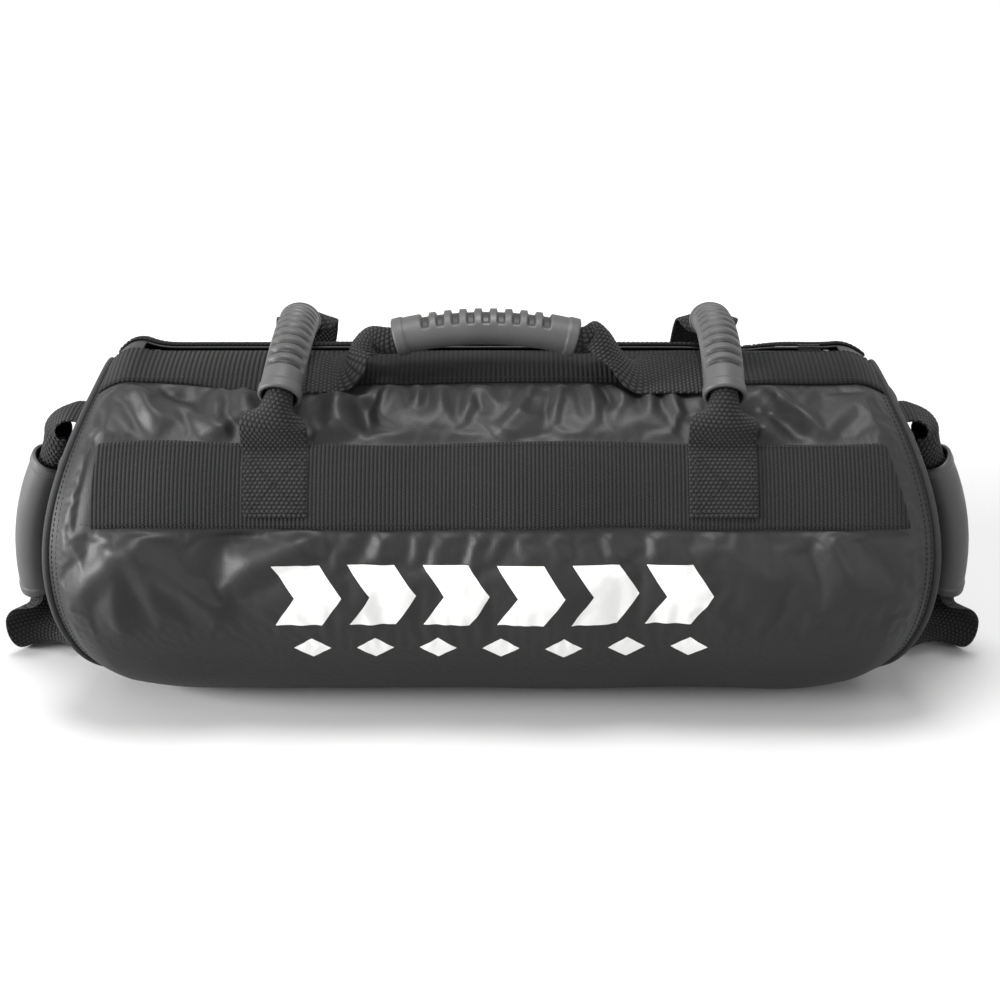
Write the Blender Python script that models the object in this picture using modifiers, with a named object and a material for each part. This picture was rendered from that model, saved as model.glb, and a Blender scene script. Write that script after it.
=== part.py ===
"""A training sandbag: a stuffed fabric cylinder with webbing bands, a zipped top, three
sand-filled liners inside, and five webbing handles with moulded rubber grips.

Metres, +Z up. +X runs along the bag, -Y is the front. The origin is on the floor under
the middle of the bag. An angle round the bag is in degrees from the top, positive
towards the front; a share along it runs from -1 at the left end seam to 1 at the right.
"""

import math

import bmesh
import bpy
from mathutils import Vector

# ---- Driving dimensions -------------------------------------------------------------
HALF_LENGTH = 0.315      # middle of the bag to the end seam, where the bag is widest
HALF_WIDTH = 0.140
MID_Z = 0.127            # height of the widest line
TOP_RISE = 0.132         # from there up to the top
FLAT_SINK = 0.005        # how much of the round underside is pressed flat
UNDERSIDE_POWER = 0.80   # under 1 squares the lower half, as settled sand does
SEAM_SETBACK = 0.024     # end seam's setback at the top and bottom
TAPER_START = 0.68       # share of the half length where the section starts to shrink
TAPER_TOP, TAPER_BOTTOM = 0.006, 0.070
PANEL_REACH = 0.314      # middle of an end panel, on its inner face
FABRIC = 0.0020          # coated nylon with its lining
GAP = 0.0005             # between layers that are sewn together
WEBBING = 0.0016         # flat bands and strips
PIPING = 0.0024

# ---- Grid lines round and along the bag ---------------------------------------------
SLOT = (-10.0, 0.0)                 # zip opening, round the bag
FRONT_STRIP, BACK_STRIP = (1.2, 22.0), (-31.0, -11.2)
FRONT_BAND, BACK_BAND = (46.0, 73.0), (-73.0, -46.0)
BAND_SHARE, STRIP_SHARE = 0.92, 0.985
ANGLES = (-180, -163, -150, -136, -121, -106, -92, -82, -73, -64, -55, -46, -38.5,
          -31, -22, -11.2, -10, 0, 1.2, 11, 22, 33, 46, 55, 64, 73, 84, 96, 108,
          122, 136, 150, 163)
SHARES = (-1, -0.985, -0.92, -0.80, -0.68, -0.45, -0.15,
          0.15, 0.45, 0.68, 0.80, 0.92, 0.985, 1)
PANEL_RINGS = (1, 0.76, 0.42)

# ---- Zip ----------------------------------------------------------------------------
TAPE_HALF_LENGTH, COIL_HALF_LENGTH = 0.262, 0.2535
TAPE, TAPE_DEPTH = (0.0008, 0.0160), (-0.0044, -0.0036)
COIL, COIL_DEPTH = (0.0008, 0.0034), (-0.0033, -0.0012)
STOP_X, STOP_HALF_WIDTH = (0.2545, 0.2585), 0.0036
SLIDER_X, SLIDER_HALF_LENGTH, SLIDER_HALF_WIDTH = 0.243, 0.00825, 0.0065
PULL_LENGTH, PULL_HALF_WIDTH, PULL_RISE, BARREL = 0.026, 0.0022, 0.0016, 0.0010

# ---- Handles ------------------------------------------------------------------------
BEND = 0.260             # radius of a grip's banana curve
CROSS_RISE, OTHER_RISE = 0.033, 0.026   # grip's middle over the line between its ends
HALF_SPAN = 0.093        # half the distance between those ends
GRIP_LENGTH, GRIP_TRAVEL = 0.135, 0.006
GRIP_HALF_WIDTH, GRIP_HALF_HEIGHT, COLLAR = 0.0150, 0.0130, 0.0007
BORE, BUNDLE = 0.0106, 0.0092
GROOVES, GROOVE_PITCH, GROOVE_HALF, GROOVE_DEPTH = 9, 0.0108, 0.0024, 0.0020
TAB_HALF_WIDTH, TAB_HALF_THICKNESS = 0.0243, 0.0011
RING_POINTS = 10
CROSS_X = 0.162
CROSS_FRONT, CROSS_BACK = (-0.108, 0.240), (0.076, 0.262)
CENTRE_X, CENTRE_ANGLE, CENTRE_Z = -0.004, 18.75, 0.2655
END_TOP, END_BOTTOM = (0.3180, -0.030, 0.2050), (0.3490, 0.030, 0.0300)

# ---- Filler bags --------------------------------------------------------------------
FILLERS = {"left": -0.187, "middle": 0.0, "right": 0.187}
FILLER_HALF_LENGTH, FILLER_HALF_WIDTH = 0.088, 0.110
FILLER_HALF_HEIGHT, FILLER_Z = 0.088, 0.110
FILLER_LEVELS = ((-1, 0.55), (-0.85, 0.86), (-0.45, 1), (0.3, 1), (0.78, 0.84))
FILLER_POINTS = 20
LINER, SAND_INSET = 0.0010, 0.0050
LIP_HEIGHT, LIP_HALF_GAP, LIP_HALF_LENGTH = 0.024, 0.0042, 0.060
CLOSURE_HALF_LENGTH, CLOSURE = 0.036, (0.0012, 0.0023)

COLOURS = {  # base colour, roughness, metallic
    "coated_nylon": ((0.040, 0.040, 0.042), 0.50, 0.0),
    "webbing": ((0.028, 0.028, 0.030), 0.75, 0.0),
    "grip_rubber": ((0.070, 0.070, 0.072), 0.55, 0.0),
    "piping": ((0.025, 0.025, 0.026), 0.60, 0.0),
    "zip_tape": ((0.020, 0.020, 0.021), 0.80, 0.0),
    "zip_coil": ((0.015, 0.015, 0.016), 0.40, 0.0),
    "zip_metal": ((0.050, 0.050, 0.052), 0.35, 0.8),
    "liner_cloth": ((0.250, 0.250, 0.240), 0.70, 0.0),
    "hook_and_loop": ((0.030, 0.030, 0.030), 0.90, 0.0),
    "sand": ((0.520, 0.420, 0.290), 0.95, 0.0),
}


def clear_scene():
    for old in list(bpy.data.objects):
        bpy.data.objects.remove(old)


def new_collection(name):
    made = bpy.data.collections.new(name)
    bpy.context.scene.collection.children.link(made)
    return made


def make_materials():
    made = {}
    for name, (colour, roughness, metallic) in COLOURS.items():
        material = bpy.data.materials.new(name)
        material.use_nodes = True
        shader = material.node_tree.nodes["Principled BSDF"]
        shader.inputs["Base Color"].default_value = (*colour, 1)
        shader.inputs["Roughness"].default_value = roughness
        shader.inputs["Metallic"].default_value = metallic
        made[name] = material
    return made


def add_object(name, data, material, origin=(0, 0, 0)):
    made = bpy.data.objects.new(name, data)
    made.location = origin
    bag.objects.link(made)
    data.materials.append(materials[material])
    return made


def mesh_object(name, shape, material, origin=(0, 0, 0)):
    """An object from a bmesh drawn in world space, with its own origin where asked."""
    bmesh.ops.translate(shape, verts=shape.verts[:], vec=-Vector(origin))
    mesh = bpy.data.meshes.new(name)
    shape.to_mesh(mesh)
    shape.free()
    return add_object(name, mesh, material, origin)


def solidify(target, thickness, offset=-1):
    wall = target.modifiers.new("wall", "SOLIDIFY")
    wall.thickness = thickness
    wall.offset = offset


def loft(name, rings, material, origin=(0, 0, 0), caps=(True, True), joined=False):
    """A body through rings of points, closed by caps or joined from last ring to first."""
    shape = bmesh.new()
    rows = [[shape.verts.new(point) for point in ring] for ring in rings]
    pairs = list(zip(rows, rows[1:])) + ([(rows[-1], rows[0])] if joined else [])
    for low, high in pairs:
        for k in range(len(low)):
            j = (k + 1) % len(low)
            shape.faces.new((low[k], low[j], high[j], high[k]))
    for row, wanted in zip((rows[0], rows[-1]), caps):
        if wanted and not joined:
            shape.faces.new(row)
    bmesh.ops.recalc_face_normals(shape, faces=shape.faces[:])
    return mesh_object(name, shape, material, origin)


# ---- The bag's surface --------------------------------------------------------------
def section(angle):
    """(y, z) of the bag's outline at full size."""
    turn = math.radians(angle)
    side, up = math.sin(turn), math.cos(turn)
    if up >= 0:
        return -HALF_WIDTH * side, MID_Z + TOP_RISE * up
    wide = math.copysign(abs(side) ** UNDERSIDE_POWER, side)
    z = MID_Z - (MID_Z + FLAT_SINK) * (-up) ** UNDERSIDE_POWER
    return -HALF_WIDTH * wide, max(0.0, z)


def outward(angle):
    """The outline's unit normal, as a vector across the bag."""
    (y0, z0), (y1, z1) = section(angle - 0.5), section(angle + 0.5)
    return Vector((0, z1 - z0, y0 - y1)).normalized()


def seam_x(angle):
    return HALF_LENGTH - SEAM_SETBACK * math.cos(math.radians(angle)) ** 2


def taper(share, angle):
    low = (1 - math.cos(math.radians(angle))) / 2
    most = TAPER_TOP + (TAPER_BOTTOM - TAPER_TOP) * low
    past = max(0.0, (abs(share) - TAPER_START) / (1 - TAPER_START))
    return 1 - most * past**2.5


def surface(share, angle, lift=0.0):
    """A point on the bag, or above it by lift."""
    y, z = section(angle)
    size = taper(share, angle)
    x = share * seam_x(angle)
    place = Vector((x, y * size, MID_Z + (z - MID_Z) * size))
    return place + outward(angle) * lift


def on_facets(x, angle, lift):
    """A point of the bag's straight middle, along its flat facets, above by lift."""
    low = max(a for a in ANGLES if a <= angle)
    high = min(a for a in ANGLES if a >= angle)
    part = 0 if high == low else (angle - low) / (high - low)
    place = surface(0, low, lift).lerp(surface(0, high, lift), part)
    return place + Vector((x, 0, 0))


def sheet(name, shares, angles, lift, thickness, material, hole=False):
    """Cloth over the bag between these grid lines, its outer face up by lift."""
    shape = bmesh.new()
    rows = [[shape.verts.new(surface(s, a, lift)) for a in angles] for s in shares]
    closed = len(angles) == len(ANGLES)
    for i in range(len(shares) - 1):
        opened = hole and max(abs(shares[i]), abs(shares[i + 1])) <= BAND_SHARE
        for j in range(len(angles) if closed else len(angles) - 1):
            k = (j + 1) % len(angles)
            if opened and (angles[j], angles[k]) == SLOT:
                continue
            shape.faces.new((rows[i][j], rows[i][k], rows[i + 1][k], rows[i + 1][j]))
    solidify(mesh_object(name, shape, material), thickness)


def strip(name, share, limits, lift, thickness):
    shares = [s for s in SHARES if abs(s) <= share]
    angles = [a for a in ANGLES if limits[0] <= a <= limits[1]]
    sheet(name, shares, angles, lift + thickness, thickness, "webbing")


def make_end_panel(name, side):
    shape = bmesh.new()
    rows = []
    for size in PANEL_RINGS:
        row = []
        for angle in ANGLES:
            rim = surface(1, angle)
            x = rim.x + (PANEL_REACH - rim.x) * (1 - size**2) + GAP
            z = MID_Z + (rim.z - MID_Z) * size
            row.append(shape.verts.new((side * x, rim.y * size, z)))
        rows.append(row)
    middle = shape.verts.new((side * (PANEL_REACH + GAP), 0, MID_Z))
    for j in range(len(ANGLES)):
        k = (j + 1) % len(ANGLES)
        for outer, inner in zip(rows, rows[1:]):
            shape.faces.new((outer[j], outer[k], inner[k], inner[j]))
        shape.faces.new((rows[-1][j], rows[-1][k], middle))
    if side < 0:
        bmesh.ops.reverse_faces(shape, faces=shape.faces[:])
    solidify(mesh_object(name, shape, "coated_nylon"), FABRIC, 1)


def make_piping(name, side):
    curve = bpy.data.curves.new(name, "CURVE")
    curve.dimensions = "3D"
    curve.bevel_depth = PIPING
    curve.bevel_resolution = 0
    line = curve.splines.new("POLY")
    line.points.add(len(ANGLES) - 1)
    line.use_cyclic_u = True
    for point, angle in zip(line.points, ANGLES):
        place = surface(side, angle, PIPING + GAP + 0.0003)
        point.co = (place.x + side * 0.0012, place.y, place.z, 1)
    add_object(name, curve, "piping")


def make_body():
    sheet("shell_body", SHARES, ANGLES, 0, FABRIC, "coated_nylon", hole=True)
    strip("front_band", BAND_SHARE, FRONT_BAND, GAP, WEBBING)
    strip("back_band", BAND_SHARE, BACK_BAND, GAP, WEBBING)
    strip("front_top_strip", STRIP_SHARE, FRONT_STRIP, GAP, WEBBING)
    strip("back_top_strip", STRIP_SHARE, BACK_STRIP, GAP, WEBBING)
    for side, name in ((-1, "left"), (1, "right")):
        make_end_panel(name + "_end_panel", side)
        make_piping(name + "_end_piping", side)


# ---- Zip ----------------------------------------------------------------------------
def zip_frame():
    """Middle of the zip, the direction across it towards the front, and its normal."""
    back, front = surface(0, SLOT[0]), surface(0, SLOT[1])
    across = (front - back).normalized()
    return (back + front) / 2, across, Vector((1, 0, 0)).cross(across) * -1


def zip_point(x, across, rise):
    middle, side, up = zip_frame()
    return middle + Vector((x, 0, 0)) + side * across + up * rise


def zip_bar(name, x_limits, outline, material, origin=(0, 0, 0)):
    rings = [[zip_point(x, u, n) for u, n in outline] for x in x_limits]
    loft(name, rings, material, origin)


def rectangle(across, rise):
    return [(across[0], rise[0]), (across[1], rise[0]),
            (across[1], rise[1]), (across[0], rise[1])]


def make_slider():
    """Plates over the coil and under the tape, the web between, and two lugs on top."""
    half = [(SLIDER_HALF_WIDTH, -0.0056), (SLIDER_HALF_WIDTH, -0.0048),
            (0.00045, -0.0048), (0.00045, -0.0009), (SLIDER_HALF_WIDTH, -0.0009),
            (SLIDER_HALF_WIDTH, 0.0003), (0.0036, 0.0003), (0.0036, 0.0030),
            (0.0026, 0.0030), (0.0026, 0.0003)]
    outline = half + [(-u, n) for u, n in reversed(half)]
    ends = (SLIDER_X - SLIDER_HALF_LENGTH, SLIDER_X + SLIDER_HALF_LENGTH)
    zip_bar("zip_slider", ends, outline, "zip_metal", zip_point(SLIDER_X, 0, 0))


def make_pull():
    """A flat tongue on a round barrel that turns between the slider's lugs."""
    side = [(-BARREL * math.cos(math.radians(a)), BARREL * math.sin(math.radians(a)))
            for a in range(30, 331, 60)]
    side += [(-PULL_LENGTH, -BARREL / 2), (-PULL_LENGTH, BARREL / 2)]
    rings = [[zip_point(SLIDER_X + x, u, PULL_RISE + n) for x, n in side]
             for u in (-PULL_HALF_WIDTH, PULL_HALF_WIDTH)]
    loft("zip_pull", rings, "zip_metal", zip_point(SLIDER_X, 0, PULL_RISE))


def make_zip():
    tape_ends = (-TAPE_HALF_LENGTH, TAPE_HALF_LENGTH)
    coil_ends = (-COIL_HALF_LENGTH, COIL_HALF_LENGTH)
    for side, name in ((1, "front"), (-1, "back")):
        tape = rectangle([side * u for u in TAPE], TAPE_DEPTH)
        coil = rectangle([side * u for u in COIL], COIL_DEPTH)
        zip_bar(name + "_zip_tape", tape_ends, tape, "zip_tape")
        zip_bar(name + "_zip_coil", coil_ends, coil, "zip_coil")
    stop = rectangle((-STOP_HALF_WIDTH, STOP_HALF_WIDTH), (COIL_DEPTH[0], -0.0009))
    zip_bar("left_zip_stop", [-x for x in STOP_X], stop, "zip_metal")
    zip_bar("right_zip_stop", STOP_X, stop, "zip_metal")
    make_slider()
    make_pull()


# ---- Handles ------------------------------------------------------------------------
def unit_ring(count, power):
    """Points round a unit superellipse, starting beside its first axis."""
    turns = [math.tau * (k + 0.5) / count for k in range(count)]
    return [(math.copysign(abs(math.cos(t)) ** power, math.cos(t)),
             math.copysign(abs(math.sin(t)) ** power, math.sin(t))) for t in turns]


class Handle:
    """Frame of one handle: the middle between its ends, the way along, and the way up."""

    def __init__(self, first, last, up, rise=CROSS_RISE):
        self.rise = rise
        self.middle = (first + last) / 2
        self.along = (last - first).normalized()
        self.up = (up - self.along * up.dot(self.along)).normalized()
        self.across = self.up.cross(self.along)

    def place(self, along, up, across=0.0):
        return self.middle + self.along * along + self.up * up + self.across * across

    def arc(self, length):
        """(along, up) of a point on the bundle's curve and its angle there."""
        turn = length / BEND
        return (BEND * math.sin(turn), self.rise - BEND + BEND * math.cos(turn), turn)

    def ring(self, along, up, turn, wide, thick, shape):
        """Ring square to the curve, where turn is how far it slopes down."""
        made = []
        for a, b in shape:
            s, h = along + math.sin(turn) * b * thick, up + math.cos(turn) * b * thick
            made.append(self.place(s, h, a * wide))
        return made


def make_grip(name, handle):
    """Curved rubber tube with a bore, and finger grooves on its outer side."""
    shape = unit_ring(RING_POINTS, 1)
    half = GRIP_LENGTH / 2
    stations = [(-half, 0, COLLAR), (-half + 0.007, 0, 0)]
    for k in range(GROOVES):
        middle = (k - (GROOVES - 1) / 2) * GROOVE_PITCH
        stations += [(middle - GROOVE_HALF, 0, 0), (middle, GROOVE_DEPTH, 0),
                     (middle + GROOVE_HALF, 0, 0)]
    stations += [(half - 0.007, 0, 0), (half, 0, COLLAR)]
    rings = []
    for length, depth, extra in stations:
        along, up, turn = handle.arc(length)
        cut = [(a, b * (1 - depth / GRIP_HALF_HEIGHT) if b > 0 else b) for a, b in shape]
        rings.append(handle.ring(along, up, turn, GRIP_HALF_WIDTH + extra,
                                 GRIP_HALF_HEIGHT + extra, cut))
    for k in range(7):
        along, up, turn = handle.arc(half - k * GRIP_LENGTH / 6)
        rings.append(handle.ring(along, up, turn, BORE, BORE, shape))
    centre = handle.place(0, handle.rise - BEND)
    loft(name, rings, "grip_rubber", centre, joined=True)


def make_strap(name, handle):
    """Webbing rolled into a round bundle, with a ball end on the line it swings about."""
    half = GRIP_LENGTH / 2 + GRIP_TRAVEL + 0.002
    path = [(*handle.arc(half * k / 4), BUNDLE) for k in range(5)]
    s0, h0, turn = path[-1][:3]
    end_turn = math.radians(72)
    reach = 0.009
    corners = [(s0, h0), (s0 + reach * math.cos(turn), h0 - reach * math.sin(turn)),
               (HALF_SPAN - reach * math.cos(end_turn), reach * math.sin(end_turn)),
               (HALF_SPAN, 0)]
    for t in (0.35, 0.7, 1.0):
        weights = ((1 - t) ** 3, 3 * t * (1 - t) ** 2, 3 * t * t * (1 - t), t**3)
        s, h = (sum(w * c[i] for w, c in zip(weights, corners)) for i in (0, 1))
        path.append((s, h, turn + (end_turn - turn) * t, BUNDLE))
    for tilt in (45, 75):
        out = BUNDLE * math.sin(math.radians(tilt))
        path.append((HALF_SPAN + out * math.cos(end_turn), -out * math.sin(end_turn),
                     end_turn, BUNDLE * math.cos(math.radians(tilt))))
    path = [(-s, h, -turn, size) for s, h, turn, size in reversed(path[1:])] + path
    shape = unit_ring(RING_POINTS, 1)
    rings = [handle.ring(s, h, turn, size, size, shape) for s, h, turn, size in path]
    loft(name, rings, "webbing", handle.middle)


def make_tab(name, points, across, end=(0.0130, 0.0030), narrow=2):
    """Webbing through these points, flat and wide but for its last ones, gathered in."""
    shape = unit_ring(RING_POINTS, 0.5)
    rings = []
    last = len(points) - 1
    for i, point in enumerate(points):
        run = points[min(i + 1, last)] - points[max(i - 1, 0)]
        up = run.cross(across).normalized()
        side = up.cross(run).normalized()
        part = max(0.0, (i - last + narrow) / narrow)
        wide = TAB_HALF_WIDTH + (end[0] - TAB_HALF_WIDTH) * part
        thick = TAB_HALF_THICKNESS + (end[1] - TAB_HALF_THICKNESS) * part
        rings.append([point + side * a * wide + up * b * thick for a, b in shape])
    loft(name, rings, "webbing")


def make_handle(name, handle):
    make_grip(name + "_grip", handle)
    make_strap(name + "_strap", handle)


def make_cross_handle(name, x):
    """Over the top from front to back, its tabs sewn over the bands."""
    front, back = Vector((x, *CROSS_FRONT)), Vector((x, *CROSS_BACK))
    make_handle(name, Handle(front, back, Vector((0, 0, 1))))
    lift = GAP + WEBBING + GAP + TAB_HALF_THICKNESS
    rises = {"front": (1, ((-0.1061, 0.2262),)),
             "back": (-1, ((0.0985, 0.2310), (0.0903, 0.2420), (0.0832, 0.2508)))}
    for side, (sign, rise) in rises.items():
        points = [on_facets(x, sign * a, lift) for a in (69, 64, 55, 46)]
        points += [Vector((x, y, z)) for y, z in rise]
        make_tab(f"{name}_{side}_tab", points, Vector((1, 0, 0)), narrow=len(rise))


def make_centre_handle():
    """Along the front strip, between the cross handles."""
    y = section(CENTRE_ANGLE)[0]
    first = Vector((CENTRE_X - HALF_SPAN, y, CENTRE_Z))
    last = Vector((CENTRE_X + HALF_SPAN, y, CENTRE_Z))
    make_handle("centre", Handle(first, last, Vector((0, 0, 1)), OTHER_RISE))
    up = outward(CENTRE_ANGLE)
    across = Vector((1, 0, 0)).cross(up)
    base = surface(0, CENTRE_ANGLE, 0.0046)
    for sign, side in ((-1, "left"), (1, "right")):
        points = []
        for out, rise in ((0.160, 0), (0.142, 0), (0.128, 0.0010), (0.117, 0.0040),
                          (0.1075, 0.0080)):
            points.append(base + up * rise + Vector((CENTRE_X + sign * out, 0, 0)))
        make_tab(f"centre_{side}_tab", points, across, narrow=3)


def make_end_handle(name, side):
    """Upright on an end panel and leaning, its top towards the front."""
    def mirrored(x, y, z):
        return Vector((side * x, y, z))

    handle = Handle(mirrored(*END_BOTTOM), mirrored(*END_TOP), Vector((side, 0, 0)),
                    OTHER_RISE)
    make_handle(name, handle)
    across = Vector((0, 1, 0))
    top = [mirrored(*p) for p in ((0.3020, -0.034, 0.2420), (0.3060, -0.034, 0.2340),
                                  (0.3105, -0.033, 0.2255), (0.3145, -0.032, 0.2190))]
    make_tab(name + "_top_tab", top, across, narrow=2)
    low = [mirrored(*p) for p in ((0.3060, 0.033, 0.0260), (0.3095, 0.032, 0.0165),
                                  (0.3220, 0.0315, 0.0110), (0.3400, 0.031, 0.0150))]
    make_tab(name + "_bottom_tab", low, across, narrow=1)


def make_handles():
    make_cross_handle("left_cross", -CROSS_X)
    make_cross_handle("right_cross", CROSS_X)
    make_centre_handle()
    make_end_handle("left_end", -1)
    make_end_handle("right_end", 1)


# ---- Filler bags --------------------------------------------------------------------
def filler_ring(x, z, half_length, half_width, power):
    shape = unit_ring(FILLER_POINTS, power)
    return [Vector((x + a * half_length, b * half_width, z)) for a, b in shape]


def make_filler(name, x):
    """A cloth liner with a mouth on top, the sand in it, and the mouth's closure."""
    cloth, sand = [], []
    for level, size in FILLER_LEVELS:
        z = FILLER_Z + level * FILLER_HALF_HEIGHT
        a, b = size * FILLER_HALF_LENGTH, size * FILLER_HALF_WIDTH
        cloth.append(filler_ring(x, z, a, b, 0.6))
        rise = SAND_INSET if level == -1 else 0
        sand.append(filler_ring(x, z + rise, a - SAND_INSET, b - SAND_INSET, 0.6))
    top = FILLER_Z + FILLER_HALF_HEIGHT
    for z in (top, top + LIP_HEIGHT):
        cloth.append(filler_ring(x, z, LIP_HALF_LENGTH, LIP_HALF_GAP, 0.4))
    solidify(loft(name + "_liner", cloth, "liner_cloth", caps=(True, False)), LINER)
    loft(name + "_sand", sand, "sand")
    for sign, part in ((-1, "hook_strip"), (1, "loop_strip")):
        near, far = (sign * edge for edge in CLOSURE)
        half = CLOSURE_HALF_LENGTH
        ring = [(x - half, near), (x + half, near), (x + half, far), (x - half, far)]
        rings = [[Vector((px, py, z)) for px, py in ring]
                 for z in (top + 0.003, top + LIP_HEIGHT - 0.002)]
        loft(f"{name}_{part}", rings, "hook_and_loop")


clear_scene()
bag = new_collection("sandbag")
materials = make_materials()
make_body()
make_zip()
make_handles()
for filler, filler_x in FILLERS.items():
    make_filler(filler, filler_x)
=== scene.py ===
"""Looks of the training sandbag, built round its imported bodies.

Metres, +Z up, +X along the bag, -Y its front. An angle round the bag is in degrees from
the top, positive towards the front. A share along it runs from -1 at the left end seam
to 1 at the right one.
"""

import math

import bmesh
import bpy
import numpy as np
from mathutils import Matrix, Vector


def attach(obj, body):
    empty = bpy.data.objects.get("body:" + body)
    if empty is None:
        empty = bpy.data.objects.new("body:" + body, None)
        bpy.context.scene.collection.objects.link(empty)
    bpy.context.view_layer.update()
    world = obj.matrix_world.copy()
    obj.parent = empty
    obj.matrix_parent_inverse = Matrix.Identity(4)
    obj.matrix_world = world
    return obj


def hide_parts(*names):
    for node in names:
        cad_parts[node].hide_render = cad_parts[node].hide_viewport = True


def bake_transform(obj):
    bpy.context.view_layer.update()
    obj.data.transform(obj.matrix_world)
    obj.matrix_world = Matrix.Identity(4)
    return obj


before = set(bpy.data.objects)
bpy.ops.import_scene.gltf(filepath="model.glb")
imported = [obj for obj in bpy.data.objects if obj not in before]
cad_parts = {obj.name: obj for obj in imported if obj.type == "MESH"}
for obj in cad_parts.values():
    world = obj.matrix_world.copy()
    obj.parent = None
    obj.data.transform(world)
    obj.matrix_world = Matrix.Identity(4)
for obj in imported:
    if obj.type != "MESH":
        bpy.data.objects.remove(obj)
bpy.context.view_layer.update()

# ---- The bag's form -----------------------------------------------------------------
HALF_LENGTH, HALF_WIDTH, MID_Z, TOP_RISE = 0.315, 0.1385, 0.127, 0.132
FLAT_SINK, UNDERSIDE_POWER, SEAM_SETBACK = 0.005, 0.97, 0.031
END_REACH = 0.008                      # how far the middle of the end seams is pushed out
TAPER_START, TAPER_TOP, TAPER_BOTTOM = 0.68, 0.006, 0.095
TUCK, TUCK_START = 0.105, 0.905         # fabric drawn in towards the end seams
PANEL_REACH = 0.319
SLOT, SLOT_REACH = (-10.0, 0.0), 0.2665
FRONT_STRIP, BACK_STRIP = (1.2, 21.5), (-31.0, -11.2)
FRONT_BAND, BACK_BAND = (46.0, 73.0), (-73.0, -46.0)
BAND_SHARE, STRIP_SHARE = 0.92, 0.985
CROSS_X, TAB_HALF_WIDTH = 0.162, 0.0245
LOOSE_ALONG, LOOSE_ROUND = 190, 252    # squares of the wrap's cloth
SLACK_FRAMES, SLACK_CAP = 16, 0.006
ON_FLOOR = 0.0002

# ---- Handles ------------------------------------------------------------------------
BEND, CROSS_RISE, OTHER_RISE = 0.260, 0.033, 0.026
GRIP_LENGTH, GRIP_HALF_WIDTH, GRIP_HALF_HEIGHT, BORE = 0.135, 0.0150, 0.0132, 0.0106
GROOVES, GROOVE_PITCH, GROOVE_DEPTH = 9, 0.0108, 0.0027
CURL = 0.93                            # share of a full turn that the webbing rolls
CROSS_SHIFT = {-1: 0.006, 1: 0.004}    # how far right of its place each is sewn
YARN, RIB = 0.0029, 0.0036             # pitch of the weave along webbing
CLOTH, STRAP = 0.0016, 0.0018


# ---- Shader nodes -------------------------------------------------------------------
class Socket:
    """A shader value that Python's operators can work on."""

    def __init__(self, kit, out):
        self.kit, self.out = kit, out

    def _math(self, operation, *others):
        return self.kit.node("ShaderNodeMath", {"operation": operation}, self, *others)

    def __add__(self, other):
        return self._math("ADD", other)

    def __radd__(self, other):
        return self._math("ADD", other)

    def __sub__(self, other):
        return self._math("SUBTRACT", other)

    def __rsub__(self, other):
        return self.kit.node("ShaderNodeMath", {"operation": "SUBTRACT"}, other, self)

    def __mul__(self, other):
        return self._math("MULTIPLY", other)

    def __rmul__(self, other):
        return self._math("MULTIPLY", other)

    def __truediv__(self, other):
        return self._math("DIVIDE", other)

    def __mod__(self, other):
        return self._math("FLOORED_MODULO", other)

    def abs(self):
        return self._math("ABSOLUTE")

    def floor(self):
        return self._math("FLOOR")

    def below(self, limit):
        return self._math("LESS_THAN", limit)

    def most(self, other):
        return self._math("MAXIMUM", other)


class Finish:
    """One material: its node tree, and the one way its nodes are made."""

    def __init__(self, name, **shader):
        self.material = bpy.data.materials.new(name)
        self.material.use_nodes = True
        self.tree = self.material.node_tree
        self.shader = self.tree.nodes["Principled BSDF"]
        for key, value in shader.items():
            self.set(key.replace("_", " ").title().replace("Ior", "IOR"), value)

    def set(self, name, value):
        socket = self.shader.inputs[name]
        if isinstance(value, Socket):
            self.tree.links.new(value.out, socket)
        else:
            socket.default_value = value

    def node(self, kind, settings, *values, out=0, **named):
        made = self.tree.nodes.new(kind)
        for key, value in settings.items():
            setattr(made, key, value)
        pairs = list(enumerate(values))
        pairs += [(key.replace("_", " "), value) for key, value in named.items()]
        for key, value in pairs:
            if isinstance(value, Socket):
                self.tree.links.new(value.out, made.inputs[key])
            elif value is not None:
                made.inputs[key].default_value = value
        return Socket(self, made.outputs[out])

    def split(self, vector):
        made = self.node("ShaderNodeSeparateXYZ", {}, vector)
        outs = made.out.node.outputs
        return [Socket(self, outs[i]) for i in range(3)]

    def place(self):
        return self.node("ShaderNodeTexCoord", {}, out="Object")

    def cloth_place(self):
        return self.node("ShaderNodeTexCoord", {}, out="UV")

    def noise(self, vector, scale, detail=3.0, stretch=(1, 1, 1)):
        turned = self.node("ShaderNodeMapping", {}, vector, Scale=stretch)
        return self.node("ShaderNodeTexNoise", {}, Vector=turned, Scale=scale,
                         Detail=detail)

    def blend(self, factor, first, second):
        made = self.node("ShaderNodeMix", {"data_type": "RGBA"}, Factor=factor)
        mix = made.out.node
        for socket, value in ((mix.inputs[6], first), (mix.inputs[7], second)):
            if isinstance(value, Socket):
                self.tree.links.new(value.out, socket)
            else:
                socket.default_value = (*value, 1)
        return Socket(self, mix.outputs[2])

    def ramp(self, value, low, high, to_low=0.0, to_high=1.0):
        return self.node("ShaderNodeMapRange", {"interpolation_type": "SMOOTHSTEP"},
                         value, low, high, to_low, to_high)

    def bump(self, height, distance, strength=1.0, under=None):
        return self.node("ShaderNodeBump", {}, Strength=strength, Distance=distance,
                         Height=height, Normal=under)


def pillow(value):
    """0 at the edges of each unit cell and 1 in its middle."""
    part = (value % 1.0) * 2 - 1
    return 1 - part * part


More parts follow.
